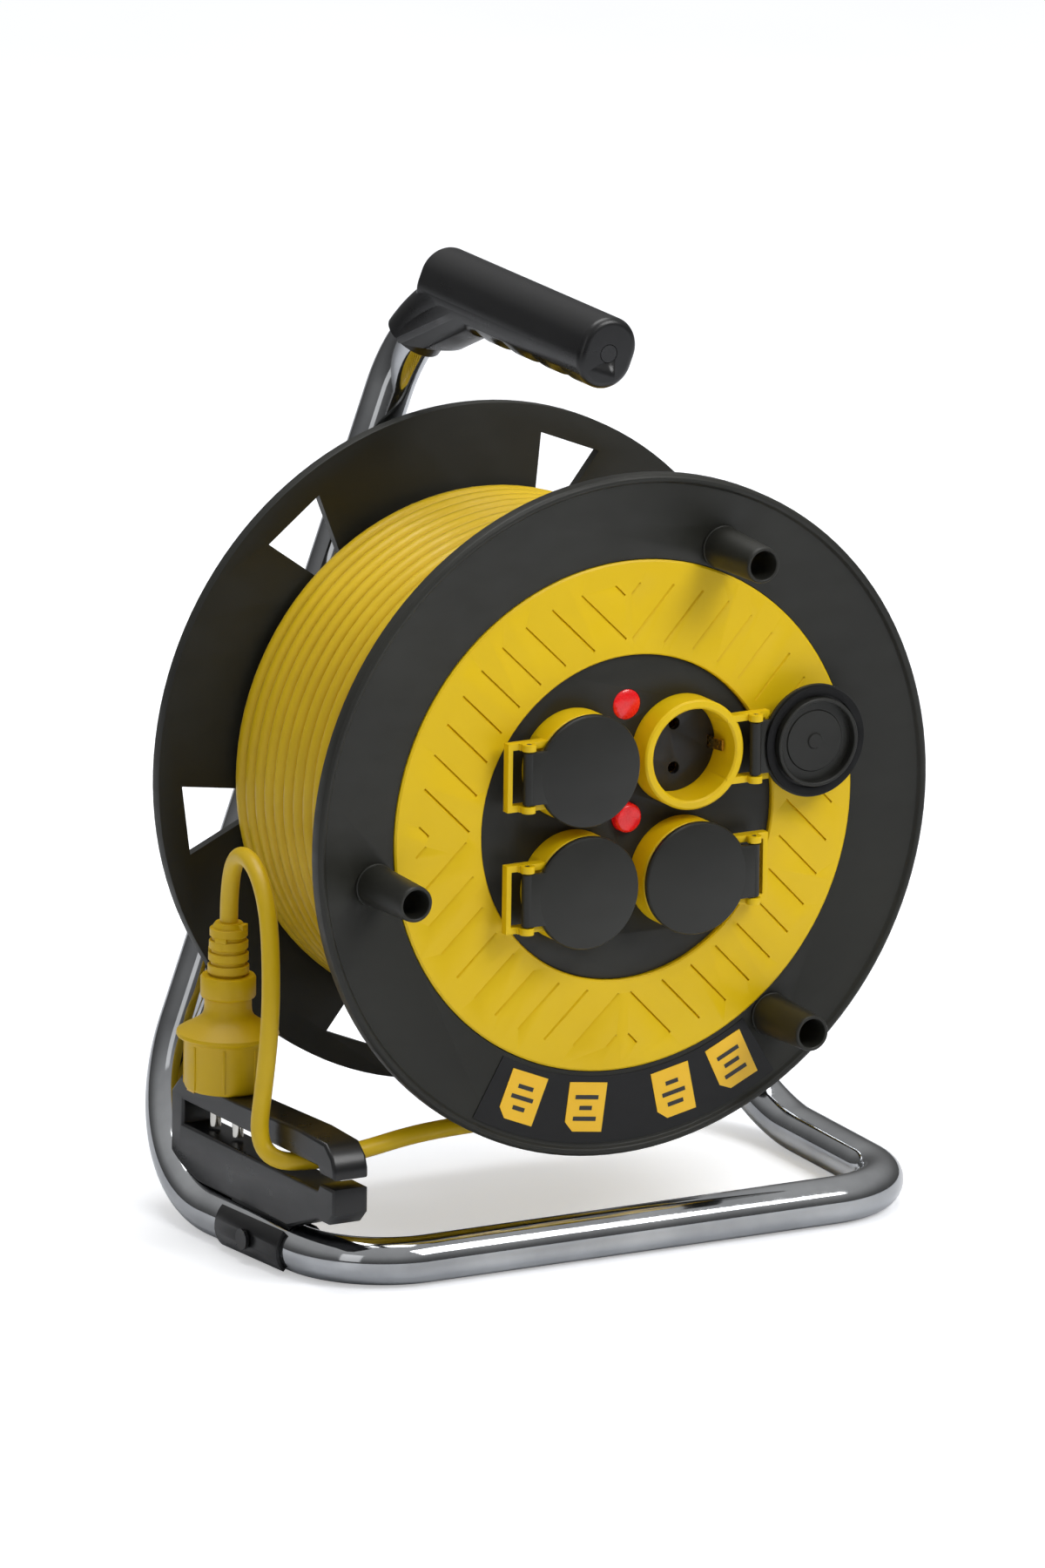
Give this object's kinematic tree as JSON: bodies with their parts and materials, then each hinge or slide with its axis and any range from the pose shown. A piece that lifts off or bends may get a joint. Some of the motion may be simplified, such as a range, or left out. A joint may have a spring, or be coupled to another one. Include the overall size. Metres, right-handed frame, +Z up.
{
  "type": "extension cord reel",
  "caption": "Cable reel: a black drum of yellow cable turns on a chromed bent-tube stand with a grip; covered outlets sit on the drum's face, and the plug parks on a cord guide.",
  "frame": {"origin": "middle of the stand's footprint on the floor", "axes": "+Z up, -Y the outlet side, +X to the right seen from the outlets"},
  "size_m": [0.3068, 0.2058, 0.3971],
  "materials": {
    "chrome_tube": "bright chrome plate on steel tube",
    "black_steel": "black paint on steel plate",
    "black_plastic": "fine-grained moulded plastic with a satin sheen",
    "yellow_plastic": "satin yellow moulded plastic",
    "cord_yellow": "smooth yellow cable sheath",
    "zinc_steel": "bright zinc plate",
    "white_plastic": "plain nylon",
    "nickel_pins": "nickel plate",
    "brass_strip": "bare spring brass",
    "lamp_red": "smooth bright red plastic",
    "lamp_glass": "clear bulb glass",
    "insert_dark": "plain moulded plastic",
    "seal_rubber": "soft sealing rubber",
    "label_film": "thin smooth film",
    "label_chip": "plain yellow patches of the film"
  },
  "bodies": {
    "stand": {"stand_tube": "chrome_tube", "tube_end_plugs": "black_plastic", "grip": "black_plastic", "grip_screw": "zinc_steel", "axle_bracket": "black_steel", "bracket_bolts": "zinc_steel", "axle": "zinc_steel", "axle_nut": "zinc_steel", "retaining_ring": "zinc_steel", "thrust_washer": "white_plastic", "cable_guide": "black_plastic", "tube_clamp": "black_plastic", "clamp_screw": "zinc_steel", "free_cord": "cord_yellow", "plug_body": "cord_yellow", "plug_prongs": "nickel_pins", "plug_earth_strips": "brass_strip", "plug_strain_relief": "cord_yellow"},
    "drum": {"front_flange": "black_plastic", "rear_flange": "black_plastic", "drum_hub": "black_plastic", "axle_bushes": "white_plastic", "flange_screws": "zinc_steel", "trim_ring": "yellow_plastic", "socket_plate": "black_plastic", "contact_sleeves": "brass_strip", "hinge_pins": "zinc_steel", "lamp_lens": "lamp_red", "lamp_bulb": "lamp_glass", "overload_cutout": "black_plastic", "button_spring": "zinc_steel", "terminal_block": "white_plastic", "cable_anchor": "white_plastic", "finger_pegs": "black_plastic", "label_band": "label_film", "label_chips": "label_chip", "winding": "cord_yellow", "winding_core": "cord_yellow", "collar_top_left": "yellow_plastic", "insert_top_left": "insert_dark", "earth_springs_top_left": "brass_strip", "collar_top_right": "yellow_plastic", "insert_top_right": "insert_dark", "earth_springs_top_right": "brass_strip", "collar_bottom_left": "yellow_plastic", "insert_bottom_left": "insert_dark", "earth_springs_bottom_left": "brass_strip", "collar_bottom_right": "yellow_plastic", "insert_bottom_right": "insert_dark", "earth_springs_bottom_right": "brass_strip"},
    "cover_top_left": {"lid_top_left": "black_plastic", "seal_top_left": "seal_rubber"},
    "cover_top_right": {"lid_top_right": "black_plastic", "seal_top_right": "seal_rubber"},
    "cover_bottom_left": {"lid_bottom_left": "black_plastic", "seal_bottom_left": "seal_rubber"},
    "cover_bottom_right": {"lid_bottom_right": "black_plastic", "seal_bottom_right": "seal_rubber"},
    "button": {"reset_button": "lamp_red"}
  },
  "joints": [
    {"name": "drum_spin", "type": "hinge", "parent": "stand", "child": "drum", "pos_m": [0, 0, 0.185], "axis": [0, 1, 0], "continuous": true},
    {"name": "lid_top_left_hinge", "type": "hinge", "parent": "drum", "child": "cover_top_left", "pos_m": [-0.054, -0.0836, 0.211], "axis": [0, 0, -1], "range_deg": [0, 180]},
    {"name": "lid_top_right_hinge", "type": "hinge", "parent": "drum", "child": "cover_top_right", "pos_m": [0.054, -0.0836, 0.211], "axis": [0, 0, 1], "range_deg": [-180, 0]},
    {"name": "lid_bottom_left_hinge", "type": "hinge", "parent": "drum", "child": "cover_bottom_left", "pos_m": [-0.054, -0.0836, 0.159], "axis": [0, 0, -1], "range_deg": [0, 180]},
    {"name": "lid_bottom_right_hinge", "type": "hinge", "parent": "drum", "child": "cover_bottom_right", "pos_m": [0.054, -0.0836, 0.159], "axis": [0, 0, 1], "range_deg": [0, 180]},
    {"name": "reset_press", "type": "slide", "parent": "drum", "child": "button", "axis": [0, 1, 0], "range_m": [0, 0.0025], "stiffness_N_per_m": 600, "deforming": ["button_spring"]}
  ]
}
